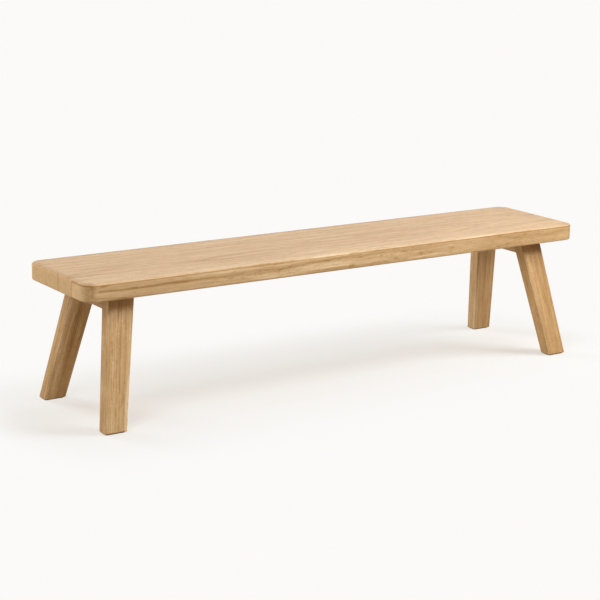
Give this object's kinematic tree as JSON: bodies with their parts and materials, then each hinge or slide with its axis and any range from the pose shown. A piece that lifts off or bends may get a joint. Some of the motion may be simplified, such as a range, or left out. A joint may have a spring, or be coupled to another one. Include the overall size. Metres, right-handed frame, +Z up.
{
  "type": "dining bench",
  "caption": "Solid oak dining bench: a thick plank seat with rounded corners on two end frames with splayed, tapered legs.",
  "frame": {"origin": "on the floor, under the middle of the seat", "axes": "+X along the bench to its right end as seen from the front, -Y towards the front, +Z up"},
  "size_m": [1.85, 0.4372, 0.44],
  "materials": {
    "oak_seat": "matt oiled oak",
    "oak_leg": "matt oiled oak",
    "oak_rail": "matt oiled oak",
    "glide_nylon": "dark brown nylon",
    "bolt_steel": "blackened steel",
    "washer_zinc": "zinc plated",
    "insert_brass": "brass"
  },
  "bodies": {
    "root": {"seat_stave_1": "oak_seat", "seat_stave_2": "oak_seat", "seat_stave_3": "oak_seat", "seat_stave_4": "oak_seat", "seat_stave_5": "oak_seat", "front_left_leg": "oak_leg", "rear_left_leg": "oak_leg", "front_right_leg": "oak_leg", "rear_right_leg": "oak_leg", "left_rail": "oak_rail", "right_rail": "oak_rail", "front_left_glide": "glide_nylon", "rear_left_glide": "glide_nylon", "front_right_glide": "glide_nylon", "rear_right_glide": "glide_nylon", "left_bolts": "bolt_steel", "right_bolts": "bolt_steel", "left_washers": "washer_zinc", "right_washers": "washer_zinc", "left_inserts": "insert_brass", "right_inserts": "insert_brass"}
  },
  "joints": []
}
